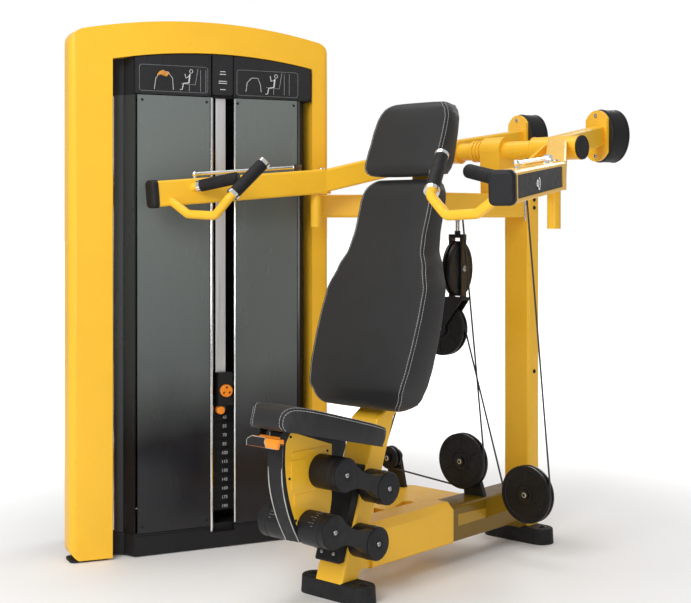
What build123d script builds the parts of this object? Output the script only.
from build123d import *
from math import asin, atan2, cos, degrees, hypot, radians, sin
import os

os.makedirs("parts", exist_ok=True)

# The user faces -Y, +X is the user's left and +Z is up.
# x is measured from the middle of the seat; these two shifts centre the footprint.
CENTRE_X = -183.3
CENTRE_Y = 138.8

RUN = 0.05  # radial running clearance of a turning fit
GAP = 0.4  # clearance between separate bodies

# Base and upright frame
FOOT_LENGTH, FOOT_WIDTH, FOOT_HEIGHT = 230.0, 76.0, 45.0
FRONT_FOOT_Y, REAR_FOOT_Y = -290.0, 512.0
BEAM_WIDTH, BEAM_HEIGHT, BEAM_BOTTOM = 104.0, 112.0, 64.0
SLEEVE_START_Y, SLEEVE_END_Y = -217.0, 122.0
TAIL_WIDTH, TAIL_HEIGHT = 90.0, 100.0
COLUMN_WIDTH, COLUMN_DEPTH = 90.0, 66.0
COLUMN_FRONT_Y, COLUMN_LEAN, COLUMN_TOP = -328.0, 0.352, 440.0
SPINE_WIDTH, SPINE_DEPTH, SPINE_TOP = 60.0, 46.0, 1130.0
SPINE_FRONT_Y, SPINE_START, SPINE_LEAN = -92.0, 500.0, 0.241
POST_WIDTH, POST_DEPTH, POST_FRONT_Y, POST_TOP = 90.0, 57.0, 498.0, 1034.0
STRUT_WIDTH, STRUT_BOTTOM, STRUT_TOP = 72.0, 957.0, 1026.0

# Arm pivot
PIVOT_Y, PIVOT_Z = 400.0, 1152.0
PIVOT_TUBE_R, PIVOT_SHAFT_R = 25.5, 20.0
HUB_INNER_X, HUB_OUTER_X, HUB_R = 130.0, 285.0, 33.5

# Arm beams, from the hub to the elbow to the front end
ELBOW = (405.0, 82.0, 1063.0)
ARM_END = (583.0, -400.0, 1022.0)
ARM_WIDTH, ARM_HEIGHT = 56.0, 72.0
DISC_X, DISC_Y, DISC_Z = 145.0, 774.0, 1206.0
DISC_R, DISC_THICK, DISC_TURN = 80.0, 62.0, 27.0

# Weight tower, in its own axes: along its width, and in from its front face
TOWER_X, TOWER_Y, TOWER_TURN = -750.7, -563.9, 22.0
TOWER_WIDTH, TOWER_DEPTH = 790.0, 80.0
COLUMN_LEFT, COLUMN_RIGHT, SEAM_Z = 118.0, 58.0, 1400.0
ARCH_SPRING, ARCH_PEAK = 1475.0, 1519.0
UNDER_SPRING, UNDER_PEAK = 1402.0, 1430.0
FRONT_BULGE = 16.0
WALL_LEFT, WALL_RIGHT, SHELL = 127.0, 724.0, 6.0
SHROUD_LEFT, SHROUD_RIGHT, SHROUD_FRONT, SHROUD_BACK = 180.0, 688.0, -11.0, 300.0
BASE_TOP, HEADER_BOTTOM = 66.0, 1304.0
CHANNEL_LEFT, CHANNEL_RIGHT = 404.0, 480.0
STACK_MID, STACK_Y = 442.0, 95.0
PLATE_COUNT, PLATE_THICK, PLATE_PITCH, STACK_BOTTOM = 12, 25.0, 26.0, 98.0

# Seat linkage: a parallelogram on the leaning column
LINK_REAR_UP = (-222.0, 277.0)
LINK_DROP = (-42.0, -131.0)
LINK_REACH = (-160.0, 57.0)
LINK_END_R, LINK_NECK_R, LINK_OUTER_X, LINK_THICK = 42.0, 20.0, 110.0, 22.0
PIN_R = 11.0
CARRIAGE_HALF = 24.0

# Pulleys
PULLEY_R, PULLEY_THICK, GROOVE_DEPTH, CABLE_R = 79.0, 25.0, 7.0, 2.5
CABLE_Y = 265.0
LOW_LEFT = (198.0, 198.0)
LOW_MID = (-22.0, 262.0)
FLOAT_LOW = (-93.0, 638.0)
RETURN = (-293.0, 238.0)
FLOAT_TOP = (-42.0, 811.0)
RETURN_R = 34.0


def floor(height=0.0):
    return Plane(origin=(-CENTRE_X, -CENTRE_Y, height))


def side(x=0.0):
    return Plane(origin=(x - CENTRE_X, -CENTRE_Y, 0), x_dir=(0, 1, 0), z_dir=(1, 0, 0))


def front(y=0.0):
    return Plane(origin=(-CENTRE_X, y - CENTRE_Y, 0), x_dir=(1, 0, 0), z_dir=(0, -1, 0))


def at(x, y, z):
    return Vector(x - CENTRE_X, y - CENTRE_Y, z)


TOWER_ALONG = Vector(sin(radians(TOWER_TURN)), cos(radians(TOWER_TURN)), 0)
TOWER_IN = Vector(-cos(radians(TOWER_TURN)), sin(radians(TOWER_TURN)), 0)


def tower_at(along, inward, height):
    corner = at(TOWER_X, TOWER_Y, height)
    return corner + TOWER_ALONG * along + TOWER_IN * inward


def tower_plan(height=0.0):
    return Plane(origin=tower_at(0, 0, height), x_dir=TOWER_ALONG, z_dir=(0, 0, 1))


def tower_front(inward=0.0):
    return Plane(origin=tower_at(0, inward, 0), x_dir=TOWER_ALONG, z_dir=-TOWER_IN)


def run_plane(start, end, up=(0, 0, 1)):
    """Section plane at start, facing end, its y axis as near to up as it can be."""
    toward = (end - start).normalized()
    across = Vector(*up).cross(toward).normalized()
    return Plane(origin=start, x_dir=across, z_dir=toward)


def column_front(z):
    return COLUMN_FRONT_Y + COLUMN_LEAN * (z - FOOT_HEIGHT)


def spine_front(z):
    return SPINE_FRONT_Y + SPINE_LEAN * (z - SPINE_START)


def finish(part, name):
    part.label = name
    export_step(part, f"parts/{name}.step")


# ------------------------------------------------------------------ base frame

def foot(y):
    with BuildPart() as pad:
        with BuildSketch(floor()):
            with Locations((0, y)):
                SlotOverall(FOOT_LENGTH, FOOT_WIDTH)
        extrude(amount=FOOT_HEIGHT - 0.2, taper=3)
        fillet(pad.edges().group_by(Axis.Z)[-1], 5)
    return pad.part


with BuildPart() as feet:
    add(foot(FRONT_FOOT_Y))
    add(foot(REAR_FOOT_Y))
finish(feet.part, "feet")

with BuildPart() as seat_column:
    with BuildSketch(side(-COLUMN_WIDTH / 2)):
        Polygon(
            (column_front(FOOT_HEIGHT), FOOT_HEIGHT),
            (column_front(FOOT_HEIGHT) + COLUMN_DEPTH, FOOT_HEIGHT),
            (column_front(COLUMN_TOP) + COLUMN_DEPTH, COLUMN_TOP),
            (spine_front(SPINE_START) + SPINE_DEPTH, SPINE_START),
            (spine_front(SPINE_START), SPINE_START),
            (column_front(COLUMN_TOP), COLUMN_TOP),
            align=None,
        )
    extrude(amount=COLUMN_WIDTH)
    fillet(seat_column.edges().filter_by(Axis.X, reverse=True).filter_by(GeomType.LINE), 6)
    with BuildSketch(side(-SPINE_WIDTH / 2)):
        Polygon(
            (spine_front(SPINE_START - 30), SPINE_START - 30),
            (spine_front(SPINE_START - 30) + SPINE_DEPTH, SPINE_START - 30),
            (spine_front(SPINE_TOP) + SPINE_DEPTH, SPINE_TOP),
            (spine_front(SPINE_TOP), SPINE_TOP),
            align=None,
        )
    extrude(amount=SPINE_WIDTH)
    for reach in ((0, 0), LINK_DROP):
        with BuildSketch(side(-COLUMN_WIDTH / 2)):
            with Locations((LINK_REAR_UP[0] + reach[0], LINK_REAR_UP[1] + reach[1])):
                Circle(PIN_R + RUN)
        extrude(amount=COLUMN_WIDTH, mode=Mode.SUBTRACT)

with BuildPart() as base_beam:
    with BuildSketch(front(SLEEVE_END_Y)):
        with Locations((0, BEAM_BOTTOM + BEAM_HEIGHT / 2)):
            sleeve = Rectangle(BEAM_WIDTH, BEAM_HEIGHT)
        chamfer(sleeve.vertices().group_by(Axis.Y)[-1], 20)
        fillet(sleeve.vertices().group_by(Axis.Y)[0], 8)
    extrude(amount=SLEEVE_END_Y - SLEEVE_START_Y)
    with BuildSketch(front(SLEEVE_START_Y)):
        with Locations((0, BEAM_BOTTOM + BEAM_HEIGHT / 2 - 4)):
            Rectangle(COLUMN_WIDTH - 2, BEAM_HEIGHT - 16)
    extrude(amount=50)
    with BuildSketch(front(POST_FRONT_Y)):
        with Locations((0, BEAM_BOTTOM + TAIL_HEIGHT / 2)):
            RectangleRounded(TAIL_WIDTH, TAIL_HEIGHT, 8)
    extrude(amount=POST_FRONT_Y - SLEEVE_END_Y)
    with BuildSketch(floor(FOOT_HEIGHT)):
        with Locations((0, REAR_FOOT_Y - 24)):
            Rectangle(70, 48)
    extrude(amount=BEAM_BOTTOM - FOOT_HEIGHT)
    # the flat link to the tower, with a slot and a three-sided opening
    with BuildSketch(floor(BEAM_BOTTOM + 46)):
        Polygon(
            (-40, -150), (-40, 330), (-250, 330), (-440, 226), (-520, 170), (-480, 108), (-300, 40),
            align=None,
        )
        with Locations((-105, 95)):
            SlotOverall(120, 34, rotation=112, mode=Mode.SUBTRACT)
        Polygon((-62, -80), (-62, 20), (-150, 22), align=None, mode=Mode.SUBTRACT)
    extrude(amount=40)
    add(seat_column.part, mode=Mode.SUBTRACT)
    with BuildSketch(side(-COLUMN_WIDTH / 2)):
        with Locations((LINK_REAR_UP[0] + LINK_DROP[0], LINK_REAR_UP[1] + LINK_DROP[1])):
            Circle(PIN_R + RUN)
    extrude(amount=COLUMN_WIDTH, mode=Mode.SUBTRACT)

with BuildPart() as rear_post:
    with BuildSketch(floor(FOOT_HEIGHT)):
        with Locations((0, POST_FRONT_Y + POST_DEPTH / 2)):
            RectangleRounded(POST_WIDTH, POST_DEPTH, 10)
    extrude(amount=POST_TOP - FOOT_HEIGHT)
    add(base_beam.part, mode=Mode.SUBTRACT)

with BuildPart() as upper_strut:
    with BuildSketch(front(POST_FRONT_Y)):
        with Locations((0, (STRUT_BOTTOM + STRUT_TOP) / 2)):
            RectangleRounded(STRUT_WIDTH, STRUT_TOP - STRUT_BOTTOM, 8)
    extrude(amount=POST_FRONT_Y - spine_front(STRUT_BOTTOM) - 10)
    with BuildSketch(side(-STRUT_WIDTH / 2 + 2)):
        with Locations((PIVOT_Y, PIVOT_Z)):
            Circle(PIVOT_TUBE_R + 14)
        Polygon(
            (PIVOT_Y - 34, STRUT_TOP - 8),
            (PIVOT_Y - 38, PIVOT_Z - 12),
            (PIVOT_Y + 28, PIVOT_Z + 28),
            (POST_FRONT_Y, STRUT_TOP + 40),
            (POST_FRONT_Y, STRUT_TOP - 8),
            align=None,
        )
    extrude(amount=STRUT_WIDTH - 4)
    with BuildSketch(side(-STRUT_WIDTH / 2)):
        with Locations((PIVOT_Y, PIVOT_Z)):
            Circle(PIVOT_TUBE_R)
    extrude(amount=STRUT_WIDTH, mode=Mode.SUBTRACT)
    add(seat_column.part, mode=Mode.SUBTRACT)
    add(rear_post.part, mode=Mode.SUBTRACT)

# ---------------------------------------------------------------- weight tower

def tower_frame_piece(bottom, top, left, right):
    """The part of the tower's bent frame inside a window of its front view."""
    inner_right = TOWER_WIDTH - COLUMN_RIGHT
    with BuildPart() as piece:
        with BuildSketch(tower_front(TOWER_DEPTH)):
            with BuildLine():
                arch = ThreePointArc(
                    (0, ARCH_SPRING), (TOWER_WIDTH / 2, ARCH_PEAK), (TOWER_WIDTH, ARCH_SPRING)
                )
                Polyline(arch @ 1, (TOWER_WIDTH, 0), (0, 0), arch @ 0)
            outline = make_face()
            fillet(outline.vertices().group_by(Axis.Z)[-1], 48)
            with BuildLine():
                under = ThreePointArc(
                    (COLUMN_LEFT, UNDER_SPRING), (TOWER_WIDTH / 2, UNDER_PEAK), (inner_right, UNDER_SPRING)
                )
                Polyline(under @ 1, (inner_right, -10), (COLUMN_LEFT, -10), under @ 0)
            make_face(mode=Mode.SUBTRACT)
        extrude(amount=TOWER_DEPTH + FRONT_BULGE + 10)
        with BuildSketch(tower_plan(-5)):
            with BuildLine():
                bulge = ThreePointArc((0, 0), (TOWER_WIDTH / 2, -FRONT_BULGE), (TOWER_WIDTH, 0))
                Polyline(bulge @ 1, (TOWER_WIDTH, TOWER_DEPTH), (0, TOWER_DEPTH), bulge @ 0)
            plan = make_face()
            fillet(plan.vertices(), 20)
        extrude(amount=ARCH_PEAK + 10, mode=Mode.INTERSECT)
        with BuildSketch(tower_front(TOWER_DEPTH + 20)):
            with Locations(((left + right) / 2, (bottom + top) / 2)):
                Rectangle(right - left, top - bottom)
        extrude(amount=TOWER_DEPTH + 120, mode=Mode.INTERSECT)
    return piece.part


tower_left_column = tower_frame_piece(6, SEAM_Z, -10, TOWER_WIDTH / 2)
tower_right_column = tower_frame_piece(6, SEAM_Z, TOWER_WIDTH / 2, TOWER_WIDTH + 10)
tower_arch = tower_frame_piece(SEAM_Z, ARCH_PEAK + 20, -10, TOWER_WIDTH + 10)
finish(tower_left_column, "tower_left_column")
finish(tower_right_column, "tower_right_column")
finish(tower_arch, "tower_arch")

with BuildPart() as tower_soles:
    for left, width in ((0, COLUMN_LEFT), (TOWER_WIDTH - COLUMN_RIGHT, COLUMN_RIGHT)):
        with BuildSketch(tower_plan(0)):
            with Locations((left + width / 2, TOWER_DEPTH / 2)):
                RectangleRounded(width - 8, TOWER_DEPTH - 10, 14)
        extrude(amount=6)
finish(tower_soles.part, "tower_soles")


def shroud_plan():
    """Half way round the shroud: side, angled corner and flat front."""
    return (
        (WALL_LEFT - 4, SHROUD_BACK),
        (WALL_LEFT - 4, 44),
        (SHROUD_LEFT - 20, 28),
        (SHROUD_LEFT, SHROUD_FRONT),
        (SHROUD_RIGHT, SHROUD_FRONT),
        (SHROUD_RIGHT + 16, 28),
        (WALL_RIGHT + 4, 44),
        (WALL_RIGHT + 4, SHROUD_BACK),
    )


with BuildPart() as tower_base:
    with BuildSketch(tower_plan(4)):
        Polygon(*shroud_plan(), align=None)
    extrude(amount=BASE_TOP - 4)
    chamfer(tower_base.edges().group_by(Axis.Z)[-1], 3)
    with BuildSketch(tower_plan(BASE_TOP - 20)):
        with Locations((STACK_MID, SHROUD_FRONT)):
            Rectangle(CHANNEL_RIGHT - CHANNEL_LEFT, 2 * 26)
    extrude(amount=21, mode=Mode.SUBTRACT)
finish(tower_base.part, "tower_base")


def shell(name, points, thick, bottom, top):
    """A thin upright wall that follows the points in plan."""
    with BuildPart() as wall:
        with BuildSketch(tower_plan(bottom)):
            with BuildLine() as path:
                FilletPolyline(*points, radius=12)
            trace(path.line, line_width=thick)
        extrude(amount=top - bottom)
    finish(wall.part, name)


shell(
    "left_side_shell",
    ((WALL_LEFT, SHROUD_BACK - 10), (WALL_LEFT, 47), (SHROUD_LEFT - 17, 32), (SHROUD_LEFT + 2, SHROUD_FRONT + 4)),
    SHELL, BASE_TOP, HEADER_BOTTOM,
)
shell(
    "right_side_shell",
    ((WALL_RIGHT, SHROUD_BACK - 10), (WALL_RIGHT, 47), (SHROUD_RIGHT + 14, 32), (SHROUD_RIGHT - 2, SHROUD_FRONT + 4)),
    SHELL, BASE_TOP, HEADER_BOTTOM,
)


with BuildPart() as front_panels:
    for left, right in ((SHROUD_LEFT + 9, CHANNEL_LEFT), (CHANNEL_RIGHT, SHROUD_RIGHT - 9)):
        with BuildSketch(tower_front(SHROUD_FRONT + SHELL)):
            with Locations(((left + right) / 2, (BASE_TOP + HEADER_BOTTOM) / 2)):
                Rectangle(right - left, HEADER_BOTTOM - BASE_TOP)
        extrude(amount=SHELL)
finish(front_panels.part, "front_panels")

with BuildPart() as rear_panel:
    with BuildSketch(tower_front(SHROUD_BACK)):
        with Locations(((WALL_LEFT + WALL_RIGHT) / 2, (BASE_TOP + SEAM_Z) / 2)):
            Rectangle(WALL_RIGHT - WALL_LEFT - SHELL - 1, SEAM_Z - BASE_TOP - 4)
    extrude(amount=SHELL)
finish(rear_panel.part, "rear_panel")

with BuildPart() as header_box:
    with BuildSketch(tower_plan(HEADER_BOTTOM)):
        Polygon(
            (WALL_LEFT - 4, 250), (WALL_LEFT - 4, 44), (SHROUD_LEFT - 20, 28), (SHROUD_LEFT, 2),
            (WALL_RIGHT + 7, 2),
            (WALL_RIGHT + 7, 250),
            align=None,
        )
    extrude(amount=UNDER_PEAK + 12 - HEADER_BOTTOM)
    with BuildSketch(tower_plan(HEADER_BOTTOM - 1)):
        with Locations((STACK_MID, 150)):
            Rectangle(460, 188)
    extrude(amount=70, mode=Mode.SUBTRACT)
    add(tower_arch, mode=Mode.SUBTRACT)
finish(header_box.part, "header_box")

# three plates whose tops follow the arch
with BuildPart() as placards:
    for left, right, bottom, thick in (
        (STACK_MID - 260, STACK_MID - 34, HEADER_BOTTOM + 3, 12),
        (STACK_MID - 30, STACK_MID + 32, HEADER_BOTTOM + 8, 15),
        (STACK_MID + 36, WALL_RIGHT, HEADER_BOTTOM + 2, 12),
    ):
        with BuildSketch(tower_front(1.8)):
            with BuildLine():
                brow = ThreePointArc(
                    (COLUMN_LEFT, UNDER_SPRING - 3),
                    (TOWER_WIDTH / 2, UNDER_PEAK - 3),
                    (TOWER_WIDTH - COLUMN_RIGHT, UNDER_SPRING - 3),
                )
                Polyline(brow @ 1, (TOWER_WIDTH - COLUMN_RIGHT, 0), (COLUMN_LEFT, 0), brow @ 0)
            make_face()
            with Locations(((left + right) / 2, (bottom + UNDER_PEAK) / 2)):
                RectangleRounded(right - left, UNDER_PEAK - bottom, 6, mode=Mode.INTERSECT)
        extrude(amount=thick)
finish(placards.part, "placards")

# Guide rods, strap and weight stack behind the channel
ROD_X, ROD_R = 92.0, 12.5
TOP_PLATE_Z = STACK_BOTTOM + PLATE_COUNT * PLATE_PITCH
HEAD_TOP = 506.0
KNOB_ALONG, KNOB_Z = STACK_MID + 12, 454.0
SELECTOR_R = 4.5

with BuildPart() as guide_rods:
    for along in (-ROD_X, ROD_X):
        with BuildSketch(tower_plan(BASE_TOP)):
            with Locations((STACK_MID + along, STACK_Y)):
                Circle(ROD_R)
        extrude(amount=HEADER_BOTTOM + 69 - BASE_TOP)
    with BuildSketch(tower_plan(BASE_TOP - 20)):
        with Locations((CHANNEL_LEFT + 9, 4)):
            Circle(6.5)
    extrude(amount=HEADER_BOTTOM - BASE_TOP + 20)
finish(guide_rods.part, "guide_rods")

# The strap hangs from the header down to the lifted head
with BuildPart() as lifting_strap:
    with BuildSketch(tower_plan(HEAD_TOP + GAP)):
        with Locations((STACK_MID + 3, 16)):
            Rectangle(32, 5)
    extrude(amount=HEADER_BOTTOM - HEAD_TOP - 2 * GAP)
finish(lifting_strap.part, "lifting_strap")

with BuildPart() as buffer_pads:
    for along in (-ROD_X, ROD_X):
        with BuildSketch(tower_plan(BASE_TOP)):
            with Locations((STACK_MID + along, STACK_Y)):
                Circle(26)
                Circle(ROD_R + 0.6, mode=Mode.SUBTRACT)
        extrude(amount=STACK_BOTTOM - BASE_TOP - 1)
finish(buffer_pads.part, "buffer_pads")


def weight_plate(z):
    with BuildPart() as plate:
        with BuildSketch(tower_plan(z)):
            with Locations((STACK_MID, STACK_Y)):
                RectangleRounded(264, 116, 6)
                with Locations((-ROD_X, 0), (ROD_X, 0)):
                    Circle(ROD_R + 0.6, mode=Mode.SUBTRACT)
                Circle(12.6, mode=Mode.SUBTRACT)
        extrude(amount=PLATE_THICK)
        with BuildSketch(tower_front(STACK_Y)):
            with Locations((STACK_MID, z + PLATE_THICK / 2)):
                Circle(SELECTOR_R + 0.5)
        extrude(amount=60, mode=Mode.SUBTRACT)
    return plate.part


with BuildPart() as weight_plates:
    for level in range(PLATE_COUNT - 1):
        add(weight_plate(STACK_BOTTOM + level * PLATE_PITCH))
finish(weight_plates.part, "weight_plates")
TOP_WEIGHT_Z = STACK_BOTTOM + (PLATE_COUNT - 1) * PLATE_PITCH

# The lifted head: the picked weight, top plate, front block and bushes
with BuildPart() as stack_head:
    with BuildSketch(tower_plan(TOP_PLATE_Z)):
        with Locations((STACK_MID, STACK_Y)):
            RectangleRounded(264, 116, 6)
            with Locations((-ROD_X, 0), (ROD_X, 0)):
                Circle(ROD_R + RUN, mode=Mode.SUBTRACT)
    extrude(amount=38)
    with BuildSketch(tower_plan(TOP_PLATE_Z)):
        with Locations((KNOB_ALONG, 16)):
            Rectangle(44, 44)
    extrude(amount=HEAD_TOP - TOP_PLATE_Z)
    with BuildSketch(tower_plan(TOP_PLATE_Z + 38)):
        with Locations((STACK_MID - ROD_X, STACK_Y), (STACK_MID + ROD_X, STACK_Y)):
            Circle(21)
        with Locations((STACK_MID - ROD_X, STACK_Y), (STACK_MID + ROD_X, STACK_Y)):
            Circle(ROD_R + RUN, mode=Mode.SUBTRACT)
    extrude(amount=34)
    with BuildSketch(tower_plan(TOP_PLATE_Z + 38)):
        with Locations((STACK_MID, STACK_Y)):
            Circle(12)
    extrude(amount=22)
    with BuildSketch(tower_front(40)):
        with Locations((KNOB_ALONG, KNOB_Z)):
            Circle(6 + RUN)
    extrude(amount=60, mode=Mode.SUBTRACT)
    add(weight_plate(TOP_WEIGHT_Z))
finish(stack_head.part, "stack_head")

# The stem hangs from the head down through the plates, with a bore for each of them
with BuildPart() as selector_stem:
    with BuildSketch(tower_plan(STACK_BOTTOM + 4)):
        with Locations((STACK_MID, STACK_Y)):
            Circle(12)
    extrude(amount=TOP_PLATE_Z - STACK_BOTTOM - 4)
    with BuildSketch(tower_front(STACK_Y + 10)):
        for level in range(PLATE_COUNT):
            with Locations((STACK_MID, STACK_BOTTOM + level * PLATE_PITCH + PLATE_THICK / 2)):
                Circle(SELECTOR_R + RUN)
    extrude(amount=30, mode=Mode.SUBTRACT)
finish(selector_stem.part, "selector_stem")

with BuildPart() as add_weight_knob:
    with BuildSketch(tower_front(-7)):
        with Locations((KNOB_ALONG, KNOB_Z)):
            Circle(18)
            with PolarLocations(10, 3, start_angle=90):
                Circle(3.6, mode=Mode.SUBTRACT)
    extrude(amount=12)
    fillet(add_weight_knob.faces().sort_by(Axis((0, 0, 0), -TOWER_IN))[-1].outer_wire().edges(), 2.5)
    with BuildSketch(tower_front(30)):
        with Locations((KNOB_ALONG, KNOB_Z)):
            Circle(6)
    extrude(amount=37)
finish(add_weight_knob.part, "add_weight_knob")

with BuildPart() as selector_pin:
    with BuildSketch(tower_front(14)):
        with Locations((STACK_MID, TOP_WEIGHT_Z + PLATE_THICK / 2)):
            Circle(12)
    extrude(amount=18)
    fillet(selector_pin.faces().sort_by(Axis((0, 0, 0), -TOWER_IN))[-1].edges(), 3)
    with BuildSketch(tower_front(STACK_Y + 9)):
        with Locations((STACK_MID, TOP_WEIGHT_Z + PLATE_THICK / 2)):
            Circle(SELECTOR_R)
    extrude(amount=STACK_Y + 9 - 14)
finish(selector_pin.part, "selector_pin")

with BuildPart() as label_strip:
    with BuildSketch(tower_front(30)):
        with Locations((STACK_MID - 24, (BASE_TOP + TOP_PLATE_Z) / 2)):
            Rectangle(16, TOP_PLATE_Z - BASE_TOP)
    extrude(amount=1.5)
finish(label_strip.part, "label_strip")

# Crossbeam from the tower to the rear post, welded to the strut
STRUT_MID = (STRUT_BOTTOM + STRUT_TOP) / 2
with BuildPart() as upper_frame:
    tower_end = tower_at(TOWER_WIDTH - 22, 22, STRUT_MID)
    post_end = at(0, POST_FRONT_Y + POST_DEPTH / 2, STRUT_MID)
    with BuildSketch(run_plane(tower_end, post_end)):
        RectangleRounded(58, STRUT_TOP - STRUT_BOTTOM, 8)
    extrude(amount=(post_end - tower_end).length)
    add(upper_strut.part)
    add(rear_post.part, mode=Mode.SUBTRACT)
    add(tower_right_column, mode=Mode.SUBTRACT)

with BuildPart() as base_frame:
    add(base_beam.part)
    add(rear_post.part, mode=Mode.SUBTRACT)
    add(tower_right_column, mode=Mode.SUBTRACT)
    add(tower_base.part, mode=Mode.SUBTRACT)

finish(seat_column.part, "seat_column")
finish(base_frame.part, "base_beam")
finish(rear_post.part, "rear_post")
finish(upper_frame.part, "upper_strut")

# ------------------------------------------------------------------- arm pivot

with BuildPart() as pivot_tube:
    with BuildSketch(side(-HUB_INNER_X + GAP)):
        with Locations((PIVOT_Y, PIVOT_Z)):
            Circle(PIVOT_TUBE_R)
    extrude(amount=2 * HUB_INNER_X - 2 * GAP)
    with BuildSketch(side(-HUB_OUTER_X + 4)):
        with Locations((PIVOT_Y, PIVOT_Z)):
            Circle(PIVOT_SHAFT_R)
    extrude(amount=2 * HUB_OUTER_X - 8)
    # ridged collar beside the strut
    with BuildSketch(side(-STRUT_WIDTH / 2 - 44)):
        with Locations((PIVOT_Y, PIVOT_Z)):
            Circle(PIVOT_TUBE_R + 6)
    extrude(amount=44)
    for groove in (10, 22, 34):
        with BuildSketch(side(-STRUT_WIDTH / 2 - groove)):
            with Locations((PIVOT_Y, PIVOT_Z)):
                Circle(PIVOT_TUBE_R + 8)
                Circle(PIVOT_TUBE_R + 3.5, mode=Mode.SUBTRACT)
        extrude(amount=4, mode=Mode.SUBTRACT)
finish(pivot_tube.part, "pivot_tube")

# ------------------------------------------------------------------------ arms

HUB_MID_X = (HUB_INNER_X + HUB_OUTER_X) / 2
BEND = Vector(*ELBOW) - Vector(CENTRE_X, CENTRE_Y, 0)
TIP = Vector(*ARM_END) - Vector(CENTRE_X, CENTRE_Y, 0)
HUB = at(HUB_MID_X, PIVOT_Y, PIVOT_Z)
FORWARD = (TIP - BEND).normalized()
INWARD = Vector(0, 0, 1).cross(FORWARD).normalized()
INWARD = INWARD if INWARD.X < 0 else -INWARD
SAGITTAL = Plane(origin=(-CENTRE_X, 0, 0), x_dir=(0, 1, 0), z_dir=(1, 0, 0))


def both_sides(name, left_part):
    """Export the left piece, and its mirror image for the right."""
    finish(left_part, f"left_{name}")
    finish(mirror(left_part, about=SAGITTAL), f"right_{name}")


with BuildPart() as arm_beam:
    with BuildSketch(run_plane(BEND, TIP)):
        RectangleRounded(ARM_WIDTH, ARM_HEIGHT, 7)
    extrude(amount=(TIP - BEND).length)
    with BuildSketch(run_plane(BEND, HUB)):
        RectangleRounded(ARM_WIDTH - 2, ARM_HEIGHT - 6, 7)
    extrude(amount=(HUB - BEND).length)
    with BuildSketch(Plane(origin=BEND - Vector(0, 0, ARM_HEIGHT / 2))):
        Circle(ARM_WIDTH / 2 - 0.5)
    extrude(amount=ARM_HEIGHT)
    # outer side pocket of the front run
    with BuildSketch(Plane(origin=BEND - INWARD * (ARM_WIDTH / 2 - 5), x_dir=FORWARD, z_dir=-INWARD)):
        with Locations(((TIP - BEND).length / 2 + 12, 0)):
            RectangleRounded((TIP - BEND).length - 60, ARM_HEIGHT - 20, 5)
    extrude(amount=20, mode=Mode.SUBTRACT)
    # stub tube that hangs below the elbow
    with BuildSketch(Plane(origin=BEND + Vector(6, -16, -134))):
        Circle(17)
    extrude(amount=120)
    # hub sleeve and the rear lever to the counterweight
    with BuildSketch(side(HUB_INNER_X)):
        with Locations((PIVOT_Y, PIVOT_Z)):
            Circle(HUB_R)
    extrude(amount=HUB_OUTER_X - HUB_INNER_X)
    lever_start = at(HUB_MID_X - 10, PIVOT_Y, PIVOT_Z + 4)
    lever_end = at(DISC_X - 2, DISC_Y - DISC_THICK / 2 - 12, DISC_Z)
    with BuildSketch(run_plane(lever_start, lever_end)):
        RectangleRounded(46, 58, 6)
    extrude(amount=(lever_end - lever_start).length)

# Handle: a bent tube with the upright grip, and a stub with the cross grip
TUBE_R, GRIP_R = 12.0, 17.0
SLEEVE_FIT = TUBE_R + 0.1
GRIP_LOW = at(342, -348, 1008)
GRIP_HIGH = at(304, -258, 1103)
CROSS_OUT = at(500, -304, 1046)
CROSS_IN = at(388, -268, 1067)
grip_run = (GRIP_HIGH - GRIP_LOW).normalized()
cross_run = (CROSS_IN - CROSS_OUT).normalized()


def round_run(start, end, radius, bore=0.0):
    """A straight round bar or sleeve between two points."""
    with BuildPart() as bar:
        with BuildSketch(run_plane(start, end)):
            Circle(radius)
            if bore:
                Circle(bore, mode=Mode.SUBTRACT)
        extrude(amount=(end - start).length)
    return bar.part


with BuildPart() as handle_tube:
    with BuildLine() as handle_path:
        FilletPolyline(
            at(562, -372, 1010), at(488, -364, 966), at(392, -352, 962), GRIP_LOW, GRIP_HIGH,
            radius=22,
        )
    with BuildSketch(Plane(origin=handle_path.line @ 0, z_dir=handle_path.line % 0)):
        Circle(TUBE_R)
    sweep(path=handle_path.line, transition=Transition.ROUND)
    add(round_run(CROSS_OUT - cross_run * 36, CROSS_IN - cross_run * 8, TUBE_R))

# The left hub carries a forward horn that pulls the cable
HORN_X, HORN_Z = 190.0, 1090.0
with BuildPart() as cable_horn:
    with BuildSketch(side(HORN_X - 5)):
        Polygon(
            (PIVOT_Y, PIVOT_Z + 30), (PIVOT_Y, PIVOT_Z - 26), (CABLE_Y + 8, HORN_Z - 12),
            (CABLE_Y - 12, HORN_Z + 10),
            align=None,
        )
        with Locations((CABLE_Y, HORN_Z)):
            Circle(15)
    extrude(amount=10)
    with BuildSketch(side(HORN_X - 5)):
        with Locations((CABLE_Y, HORN_Z)):
            Circle(5 + RUN)
    extrude(amount=10, mode=Mode.SUBTRACT)

with BuildPart() as hub_bore:
    with BuildSketch(side(HUB_INNER_X)):
        with Locations((PIVOT_Y, PIVOT_Z)):
            Circle(PIVOT_SHAFT_R + RUN)
    extrude(amount=HUB_OUTER_X - HUB_INNER_X)

# Counterweights: both face the same way, towards the tower's side
FACE_OUT = Vector(-sin(radians(DISC_TURN)), -cos(radians(DISC_TURN)), 0)
ACROSS_FACE = (FACE_OUT.Y, -FACE_OUT.X, 0)


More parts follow.
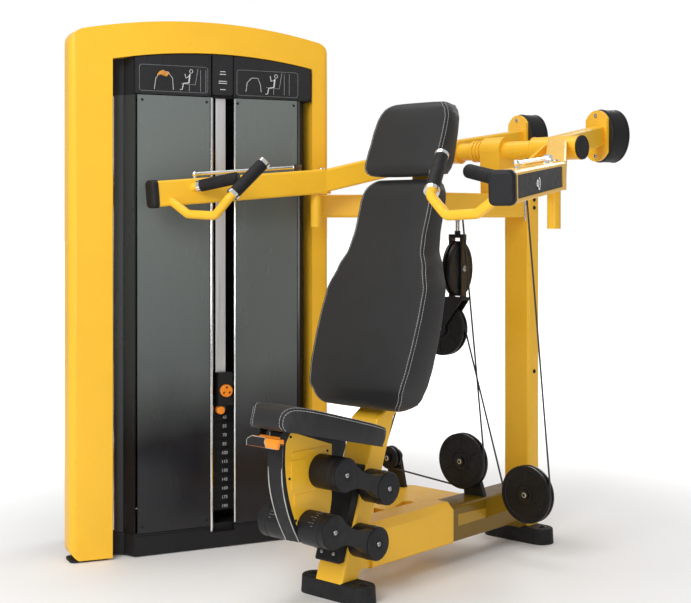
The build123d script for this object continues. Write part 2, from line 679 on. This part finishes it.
def arm_weldment(name, x, welded):
    """Fuse one arm with its counterweight plate, then export it and its disc."""
    face = at(x, DISC_Y, DISC_Z) + FACE_OUT * (DISC_THICK / 2)
    with BuildPart() as arm:
        for piece in welded:
            add(piece)
        with BuildSketch(Plane(origin=face, x_dir=ACROSS_FACE, z_dir=FACE_OUT)):
            Circle(DISC_R - 2)
            Rectangle(118, 2 * DISC_R, mode=Mode.INTERSECT)
        extrude(amount=8)
        add(hub_bore.part if x > 0 else mirror(hub_bore.part, about=SAGITTAL), mode=Mode.SUBTRACT)
    with BuildPart() as disc:
        with BuildSketch(Plane(origin=face, x_dir=ACROSS_FACE, z_dir=-FACE_OUT)):
            Circle(DISC_R)
        extrude(amount=DISC_THICK)
        fillet(disc.edges(), 4)
        add(arm.part, mode=Mode.SUBTRACT)
    finish(arm.part, f"{name}_arm")
    finish(disc.part, f"{name}_counterweight")


arm_and_handle = (arm_beam.part, handle_tube.part)
arm_weldment("left", DISC_X, (*arm_and_handle, cable_horn.part))
arm_weldment("right", -DISC_X, [mirror(piece, about=SAGITTAL) for piece in arm_and_handle])

# Black fittings of the arm: pocket insert, hub cap and end cap
with BuildPart() as arm_caps:
    with BuildSketch(Plane(origin=BEND - INWARD * (ARM_WIDTH / 2 - 5), x_dir=FORWARD, z_dir=-INWARD)):
        with Locations(((TIP - BEND).length / 2 + 12, 0)):
            RectangleRounded((TIP - BEND).length - 61, ARM_HEIGHT - 21, 5)
    extrude(amount=3)
    with BuildSketch(side(HUB_OUTER_X)):
        with Locations((PIVOT_Y, PIVOT_Z)):
            Circle(HUB_R)
    extrude(amount=5)
    with BuildSketch(run_plane(TIP, TIP + FORWARD)):
        RectangleRounded(ARM_WIDTH + 4, ARM_HEIGHT + 6, 14)
    extrude(amount=20)
    fillet(arm_caps.faces().sort_by(Axis((0, 0, 0), FORWARD))[-1].edges(), 9)
both_sides("arm_caps", arm_caps.part)

grip_start = GRIP_LOW + grip_run * 22
with BuildPart() as grips:
    add(round_run(CROSS_OUT, CROSS_IN, GRIP_R))
    fillet(grips.faces().sort_by(Axis((0, 0, 0), cross_run))[-1].edges(), 10)
    add(round_run(CROSS_OUT - cross_run, CROSS_IN - cross_run * 7.9, SLEEVE_FIT), mode=Mode.SUBTRACT)
    add(round_run(grip_start, GRIP_HIGH - grip_run * 2, GRIP_R, SLEEVE_FIT))
both_sides("grips", grips.part)

# Chrome fittings: grip collars and the stop rod with a ball end on the beam's top
with BuildPart() as arm_chrome:
    rod_base = BEND + FORWARD * 70 + Vector(0, 0, ARM_HEIGHT / 2 + 12)
    rod_tip = BEND + FORWARD * 400 + Vector(0, 0, ARM_HEIGHT / 2 + 12)
    add(round_run(rod_base, rod_tip, 5))
    with Locations(rod_tip):
        Sphere(8)
    with BuildSketch(Plane(origin=rod_tip - Vector(0, 0, 20))):
        Circle(5)
    extrude(amount=20)
    with BuildSketch(Plane(origin=rod_base + FORWARD * 12 - Vector(0, 0, 20), x_dir=FORWARD)):
        Rectangle(24, 16)
    extrude(amount=28)
    add(round_run(grip_start - grip_run * 10, grip_start, GRIP_R + 2, SLEEVE_FIT))
    add(round_run(GRIP_HIGH - grip_run * 2, GRIP_HIGH, GRIP_R + 0.5, SLEEVE_FIT))
    add(round_run(GRIP_HIGH + grip_run * 0.1, GRIP_HIGH + grip_run * 8, GRIP_R + 0.5))
    add(round_run(CROSS_OUT - cross_run * 10, CROSS_OUT, GRIP_R + 0.5, SLEEVE_FIT))
    add(arm_beam.part, mode=Mode.SUBTRACT)
    add(handle_tube.part, mode=Mode.SUBTRACT)
both_sides("arm_chrome", arm_chrome.part)

# ------------------------------------------------------- seat, links and pads

REAR_UP = Vector(*LINK_REAR_UP)
REAR_LOW = REAR_UP + Vector(*LINK_DROP)
FRONT_UP = REAR_UP + Vector(*LINK_REACH)
FRONT_LOW = REAR_LOW + Vector(*LINK_REACH)


def link(name, rear, fore):
    """One pair of dog-bone links with its bosses and the two pins that carry it."""
    with BuildPart() as pair:
        for outer in (LINK_OUTER_X - LINK_THICK, -LINK_OUTER_X):
            with BuildSketch(side(outer)):
                with Locations((rear.X, rear.Y), (fore.X, fore.Y)):
                    Circle(LINK_END_R)
                with BuildLine():
                    run = (fore - rear).normalized()
                    across = Vector(-run.Y, run.X)
                    Polyline(
                        *[
                            (p.X, p.Y)
                            for p in (
                                rear + across * 34 + run * 18,
                                rear + across * LINK_NECK_R + run * 62,
                                fore + across * LINK_NECK_R - run * 62,
                                fore + across * 34 - run * 18,
                                fore - across * 34 - run * 18,
                                fore - across * LINK_NECK_R - run * 62,
                                rear - across * LINK_NECK_R + run * 62,
                                rear - across * 34 + run * 18,
                                rear + across * 34 + run * 18,
                            )
                        ]
                    )
                make_face()
            extrude(amount=LINK_THICK)
        for end, inner in ((rear, COLUMN_WIDTH / 2 + GAP), (fore, CARRIAGE_HALF + GAP)):
            boss = LINK_OUTER_X - LINK_THICK - inner
            for start in (inner, -inner - boss):
                with BuildSketch(side(start)):
                    with Locations((end.X, end.Y)):
                        Circle(LINK_END_R)
                extrude(amount=boss)
            with BuildSketch(side(-inner)):
                with Locations((end.X, end.Y)):
                    Circle(PIN_R)
            extrude(amount=2 * inner)
    finish(pair.part, name)


link("upper_link", REAR_UP, FRONT_UP)
link("lower_link", REAR_LOW, FRONT_LOW)

with BuildPart() as seat_carriage:
    with BuildSketch(side(-CARRIAGE_HALF)):
        with BuildLine():
            bow = Spline((-497, 446), (-501, 330), (-479, 246), (-440, 168))
            Polyline(bow @ 1, (-398, 152), (-352, 196), (-340, 260), (-340, 394), bow @ 0)
        make_face()
        with Locations((FRONT_UP.X, FRONT_UP.Y), (FRONT_LOW.X, FRONT_LOW.Y)):
            Circle(PIN_R + RUN, mode=Mode.SUBTRACT)
    extrude(amount=2 * CARRIAGE_HALF)

with BuildPart() as carriage_shield:
    with BuildSketch(side(-CARRIAGE_HALF)):
        with BuildLine():
            bow = Spline((-497.3, 442), (-501.3, 330), (-479.3, 246), (-444.3, 176))
            outer = Spline((-509, 442), (-513, 328), (-491, 242), (-454, 170))
            Line(bow @ 0, outer @ 0)
            Line(bow @ 1, outer @ 1)
        make_face()
    extrude(amount=2 * CARRIAGE_HALF)
    add(seat_carriage.part, mode=Mode.SUBTRACT)
finish(seat_carriage.part, "seat_carriage")
finish(carriage_shield.part, "carriage_shield")

with BuildPart() as column_cover:
    with BuildSketch(side(-38)):
        Polygon(
            (column_front(96) - 26, 96),
            (column_front(96) - 0.1, 96),
            (column_front(330) - 0.1, 330),
            (column_front(330) - 26, 330),
            align=None,
        )
    extrude(amount=76)
    fillet(column_cover.edges().filter_by(Axis.X), 5)
    add(seat_column.part, mode=Mode.SUBTRACT)
finish(column_cover.part, "column_cover")

# Seat pan, cushion and lever. The pan follows the cushion's slope.
SEAT_FRONT, SEAT_REAR = (-540.0, 462.0), (-262.0, 392.0)
LEVER_Y, LEVER_Z, LEVER_HALF, BLADE_HALF = -527.0, 426.0, 35.6, 52.0
seat_run = (Vector(*SEAT_REAR) - Vector(*SEAT_FRONT)).normalized()
seat_up = Vector(-seat_run.Y, seat_run.X)
SEAT_LENGTH = hypot(SEAT_REAR[0] - SEAT_FRONT[0], SEAT_REAR[1] - SEAT_FRONT[1])


def seat_plane(lift):
    """Plan of the seat, from its front edge, lifted from the pan's underside."""
    start = Vector(*SEAT_FRONT) + seat_up * lift
    return Plane(
        origin=at(0, start.X, start.Y),
        x_dir=(0, seat_run.X, seat_run.Y),
        z_dir=(0, seat_up.X, seat_up.Y),
    )


def seat_outline(inset):
    Polygon(
        (inset, -50 + inset / 2), (inset, 50 - inset / 2), (60, 96 - inset), (200, 150 - inset),
        (SEAT_LENGTH - inset, 150 - inset), (SEAT_LENGTH - inset, -150 + inset), (200, -150 + inset),
        (60, -96 + inset),
        align=None,
    )


with BuildPart() as seat_pan:
    with BuildSketch(seat_plane(-4)):
        seat_outline(16)
    extrude(amount=4)
    with BuildSketch(side(-CARRIAGE_HALF)):
        Polygon((-497, 446), (-340, 394), (-340, 409), (-497, 449), align=None)
    extrude(amount=2 * CARRIAGE_HALF)
    # two lugs and a pin that carry the lever
    for inner in (LEVER_HALF + GAP, -LEVER_HALF - GAP - 4):
        with BuildSketch(side(inner)):
            Polygon(
                (LEVER_Y - 7, LEVER_Z - 7), (LEVER_Y - 7, LEVER_Z + 8), (-522, 456.5), (-498, 450.5),
                (LEVER_Y + 7, LEVER_Z - 7),
                align=None,
            )
        extrude(amount=4)
    with BuildSketch(side(-LEVER_HALF - 4)):
        with Locations((LEVER_Y, LEVER_Z)):
            Circle(4)
    extrude(amount=2 * LEVER_HALF + 8)
    add(seat_carriage.part, mode=Mode.SUBTRACT)
finish(seat_pan.part, "seat_pan")

with BuildPart() as seat_cushion:
    with BuildSketch(seat_plane(0.1)):
        seat_outline(0)
    extrude(amount=52)
    fillet(seat_cushion.edges().filter_by(Axis((0, 0, 0), (0, seat_up.X, seat_up.Y))), 24)
    fillet(seat_cushion.faces().sort_by(Axis((0, 0, 0), (0, seat_up.X, seat_up.Y)))[-1].edges(), 14)
    add(seat_pan.part, mode=Mode.SUBTRACT)
finish(seat_cushion.part, "seat_cushion")

with BuildPart() as seat_lever:
    with BuildSketch(side(-BLADE_HALF)):
        Polygon(
            (LEVER_Y - 10, LEVER_Z + 7), (LEVER_Y - 22, LEVER_Z + 7), (LEVER_Y - 32, LEVER_Z),
            (LEVER_Y - 32, LEVER_Z - 14), (LEVER_Y - 26, LEVER_Z - 14), (LEVER_Y - 22, LEVER_Z - 1),
            (LEVER_Y - 10, LEVER_Z - 4),
            align=None,
        )
    extrude(amount=2 * BLADE_HALF)
    with BuildSketch(side(-LEVER_HALF)):
        with Locations((LEVER_Y, LEVER_Z)):
            Circle(9)
        with Locations((LEVER_Y - 8, LEVER_Z + 1)):
            Rectangle(12, 10)
    extrude(amount=2 * LEVER_HALF)
    with BuildSketch(side(-LEVER_HALF)):
        with Locations((LEVER_Y, LEVER_Z)):
            Circle(4 + RUN)
    extrude(amount=2 * LEVER_HALF, mode=Mode.SUBTRACT)
finish(seat_lever.part, "seat_lever")

# Back pad and head pad: side profiles cut by their front outlines
BACK_FOOT, BACK_HEAD = (-120.0, 520.0), (-4.0, 974.0)
back_slope = (BACK_HEAD[0] - BACK_FOOT[0]) / (BACK_HEAD[1] - BACK_FOOT[1])


def back_line(z, off=0.0):
    return BACK_FOOT[0] + back_slope * (z - BACK_FOOT[1]) + off


def cushion(profile, outline, edge):
    """A closed pad: the side profile swept across, cut to the front outline."""
    with BuildPart() as pad:
        with BuildSketch(side(-180)):
            with BuildLine():
                Polyline(*profile, close=True)
            make_face()
        extrude(amount=360)
        with BuildSketch(front(200)):
            Polygon(*outline, *[(-x, z) for x, z in reversed(outline)], align=None)
        extrude(amount=600, mode=Mode.INTERSECT)
        fillet(pad.edges().filter_by(Axis.X), edge)
    return pad.part


back_pad = cushion(
    [
        (-176, 462), (-222, 474), (-230, 540), (-158, 755), (-92, 929), (-58, 1040), (-30, 1060),
        (back_line(1052), 1052), (back_line(479), 479),
    ],
    [(110, 1062), (122, 1040), (124, 872), (168, 790), (171, 620), (158, 500), (140, 462)],
    8,
)
finish(back_pad, "back_pad")

head_pad = cushion(
    [(-56, 1080), (-46, 1068), (26, 1072), (78, 1240), (70, 1262), (36, 1272), (16, 1256)],
    [(104, 1274), (122, 1246), (126, 1100), (112, 1066)],
    8,
)
finish(head_pad, "head_pad")

with BuildPart() as pad_boards:
    with BuildSketch(side(-90)):
        Polygon(
            (back_line(500, 0.2), 500), (back_line(500, 13), 500),
            (back_line(1030, 13), 1030), (back_line(1030, 0.2), 1030),
            align=None,
        )
    extrude(amount=180)
    with BuildSketch(side(-80)):
        Polygon((33.5, 1096), (46, 1096), (86, 1225), (73.5, 1225), align=None)
    extrude(amount=160)
    for low, high in ((560, 640), (880, 950)):
        with BuildSketch(side(-22)):
            Polygon(
                (back_line(low, 12), low), (spine_front(low) + 0.1, low),
                (spine_front(high) + 0.1, high), (back_line(high, 12), high),
                align=None,
            )
        extrude(amount=44)
    with BuildSketch(side(-22)):
        Polygon(
            (40, 1100), (spine_front(1100) + 20, 1100), (spine_front(1100) + 20, 1125), (50, 1125),
            align=None,
        )
    extrude(amount=44)
    add(seat_column.part, mode=Mode.SUBTRACT)
    add(head_pad, mode=Mode.SUBTRACT)
    add(back_pad, mode=Mode.SUBTRACT)
finish(pad_boards.part, "pad_boards")

# ------------------------------------------------------------ pulleys, cables

GROOVE_R = PULLEY_R - GROOVE_DEPTH
AXLE_R = 8.0
FLOAT_PLANE = Plane(
    origin=at(FLOAT_TOP[0], CABLE_Y, 0), x_dir=(-sin(radians(12)), cos(radians(12)), 0),
    z_dir=(cos(radians(12)), sin(radians(12)), 0),
)


def grooved_wheel(plane, centre, radius, thick, bore):
    """A covered pulley: a disc with a rope groove, raised rims and a hub."""
    with BuildPart() as wheel:
        with BuildSketch(plane.offset(-thick / 2)):
            with Locations(centre):
                Circle(radius)
        extrude(amount=thick)
        chamfer(wheel.edges(), 2)
        with BuildSketch(plane.offset(-4)):
            with Locations(centre):
                Circle(radius + 5)
                Circle(radius - GROOVE_DEPTH, mode=Mode.SUBTRACT)
        extrude(amount=8, mode=Mode.SUBTRACT)
        with BuildSketch(plane.offset(-thick / 2 - 2)):
            with Locations(centre):
                Circle(radius * 0.32)
        extrude(amount=thick + 4)
        with BuildSketch(plane.offset(-thick / 2 - 4)):
            with Locations(centre):
                Circle(bore)
        extrude(amount=thick + 8, mode=Mode.SUBTRACT)
    return wheel.part


for name, centre, radius in (
    ("low_left_pulley", LOW_LEFT, PULLEY_R),
    ("low_middle_pulley", LOW_MID, PULLEY_R),
    ("float_low_pulley", FLOAT_LOW, PULLEY_R),
    ("return_pulley", RETURN, RETURN_R),
):
    finish(grooved_wheel(front(CABLE_Y), centre, radius, PULLEY_THICK, AXLE_R + RUN), name)
top_wheel = grooved_wheel(FLOAT_PLANE, (0, FLOAT_TOP[1]), PULLEY_R, PULLEY_THICK, AXLE_R + RUN)
finish(top_wheel, "float_top_pulley")

HALF = PULLEY_THICK / 2 + 2
with BuildPart() as pulley_brackets:
    # axle and arm of the low left pulley, from the beam's side
    with BuildSketch(front(CABLE_Y + HALF + 16)):
        with Locations(LOW_LEFT):
            Circle(26)
        Polygon(
            (40, 104), (40, 156), (LOW_LEFT[0], LOW_LEFT[1] + 22), (LOW_LEFT[0], LOW_LEFT[1] - 22),
            align=None,
        )
    extrude(amount=14)
    # arm of the low middle pulley, standing on the beam behind it
    with BuildSketch(front(CABLE_Y + HALF + 16)):
        with Locations(LOW_MID):
            Circle(26)
        Polygon(
            (LOW_MID[0] - 24, LOW_MID[1]), (-30, 160), (40, 160), (LOW_MID[0] + 26, LOW_MID[1]), align=None
        )
    extrude(amount=14)
    # arm of the return pulley, standing on the link plate
    with BuildSketch(front(CABLE_Y + HALF + 16)):
        with Locations(RETURN):
            Circle(22)
        Polygon(
            (RETURN[0] - 20, RETURN[1]), (RETURN[0] - 30, 150), (RETURN[0] + 40, 150),
            (RETURN[0] + 20, RETURN[1]),
            align=None,
        )
    extrude(amount=14)
    with BuildSketch(front(CABLE_Y + HALF + 4)):
        with Locations(LOW_LEFT, LOW_MID, RETURN):
            Circle(AXLE_R)
    extrude(amount=2 * HALF + 8)
    with BuildSketch(front(CABLE_Y - HALF - 0.5)):
        with Locations(LOW_LEFT, LOW_MID, RETURN):
            Circle(AXLE_R + 5)
    extrude(amount=4)
    add(base_frame.part, mode=Mode.SUBTRACT)
finish(pulley_brackets.part, "pulley_brackets")

YOKE_TOP = FLOAT_TOP[1] + PULLEY_R + 14
YOKE_MID = 725.0
with BuildPart() as float_block:
    for offset in (HALF + 0.5, -HALF - 5.5):
        with BuildSketch(FLOAT_PLANE.offset(offset)):
            with Locations((0, (YOKE_TOP + YOKE_MID) / 2)):
                Rectangle(34, YOKE_TOP - YOKE_MID + 6)
        extrude(amount=5)
    with BuildSketch(FLOAT_PLANE.offset(-HALF - 5.5)):
        with Locations((0, FLOAT_TOP[1])):
            Circle(AXLE_R)
        with Locations((0, YOKE_TOP)):
            Rectangle(34, 10)
    extrude(amount=2 * HALF + 11)
    for y in (CABLE_Y + HALF + 5.5, CABLE_Y - HALF - 0.5):
        with BuildSketch(front(y)):
            with Locations(FLOAT_LOW):
                Circle(22)
            Polygon(
                (FLOAT_LOW[0] - 16, FLOAT_LOW[1]), (-78, 720), (-78, YOKE_MID), (-16, YOKE_MID), (-16, 720),
                (FLOAT_LOW[0] + 16, FLOAT_LOW[1]),
                align=None,
            )
        extrude(amount=5)
    with BuildSketch(front(CABLE_Y + HALF + 5.5)):
        with Locations(FLOAT_LOW):
            Circle(AXLE_R)
        with Locations((-47, 724.5)):
            Rectangle(62, 9)
    extrude(amount=2 * HALF + 11)
    # the threaded rod it hangs on, with its nut
    with BuildSketch(Plane(origin=at(FLOAT_TOP[0], CABLE_Y, YOKE_TOP + 5))):
        Circle(5)
    extrude(amount=STRUT_BOTTOM - YOKE_TOP - 5)
    with BuildSketch(Plane(origin=at(FLOAT_TOP[0], CABLE_Y, YOKE_TOP + 5))):
        RegularPolygon(9, 6)
    extrude(amount=10)
finish(float_block.part, "float_block")


def tangent(c1, r1, turn1, c2, r2, turn2):
    """The straight run between two turning circles; turn is 1 for anticlockwise."""
    a, b = Vector(*c1), Vector(*c2)
    span = b - a
    lean = Vector(1, 0).get_signed_angle(span, Vector(0, 0, 1))
    twist = asin((turn2 * r2 - turn1 * r1) / span.length)
    heading = radians(lean) - twist
    normal = Vector(-sin(heading), cos(heading))
    return a - normal * (turn1 * r1), b - normal * (turn2 * r2)


def around(centre, radius, start, end, turn):
    """The arc that a cable makes round a pulley, from start to end."""
    hub = Vector(*centre)
    first, last = start - hub, end - hub
    sweep_angle = degrees(atan2(last.Y, last.X) - atan2(first.Y, first.X)) * turn % 360
    half = radians(sweep_angle / 2) * turn
    middle = Vector(first.X * cos(half) - first.Y * sin(half), first.X * sin(half) + first.Y * cos(half))
    ThreePointArc((start.X, start.Y), (hub.X + middle.X, hub.Y + middle.Y), (end.X, end.Y))


LAY = GROOVE_R + CABLE_R + 0.4  # radius of the cable's middle line in a groove
RETURN_LAY = RETURN_R - GROOVE_DEPTH + CABLE_R + 0.4
HORN_END = (HORN_X, HORN_Z - 24)
ANCHOR = (LOW_MID[0] - 2, STRUT_BOTTOM)

drop_top, drop_low = tangent(HORN_END, 0, -1, LOW_LEFT, LAY, -1)
rise_low, rise_top = tangent(LOW_LEFT, LAY, -1, FLOAT_LOW, LAY, 1)
fall_top, fall_low = tangent(FLOAT_LOW, LAY, 1, RETURN, RETURN_LAY, 1)
flat_start, flat_end = tangent(RETURN, RETURN_LAY, 1, LOW_MID, LAY, 1)
last_low, last_top = tangent(LOW_MID, LAY, 1, ANCHOR, 0, 1)


def cable(name, draw):
    with BuildPart() as strand:
        with BuildLine(front(CABLE_Y)) as line:
            draw()
        wire = line.wire()
        with BuildSketch(Plane(origin=wire @ 0, z_dir=wire % 0)):
            Circle(CABLE_R)
        sweep(path=wire)
    finish(strand.part, name)


def draw_fixed_run():
    """From the low left pulley, over the float, round the return to the strut."""
    around(LOW_LEFT, LAY, drop_low, rise_low, -1)
    Line((rise_low.X, rise_low.Y), (rise_top.X, rise_top.Y))
    around(FLOAT_LOW, LAY, rise_top, fall_top, 1)
    Line((fall_top.X, fall_top.Y), (fall_low.X, fall_low.Y))
    around(RETURN, RETURN_LAY, fall_low, flat_start, 1)
    Line((flat_start.X, flat_start.Y), (flat_end.X, flat_end.Y))
    around(LOW_MID, LAY, flat_end, last_low, 1)
    Line((last_low.X, last_low.Y), (last_top.X, last_top.Y - 0.5))


def draw_left_strand():
    Line((drop_low.X, drop_low.Y), (drop_top.X, drop_top.Y))


cable("arm_cable", draw_fixed_run)
cable("left_arm_strand", draw_left_strand)

with BuildPart() as strand_clevis:
    with BuildSketch(side(HORN_X - 13)):
        with Locations((CABLE_Y, HORN_Z)):
            Circle(9)
        Polygon(
            (CABLE_Y - 7, HORN_Z), (CABLE_Y + 7, HORN_Z), (CABLE_Y + 5, HORN_Z - 23.5),
            (CABLE_Y - 5, HORN_Z - 23.5),
            align=None,
        )
    extrude(amount=26)
    with BuildSketch(side(HORN_X - 5 - 0.3)):
        with Locations((CABLE_Y, HORN_Z)):
            Circle(19)
    extrude(amount=10.6, mode=Mode.SUBTRACT)
    with BuildSketch(side(HORN_X - 13)):
        with Locations((CABLE_Y, HORN_Z)):
            Circle(5)
    extrude(amount=26)
finish(strand_clevis.part, "strand_clevis")
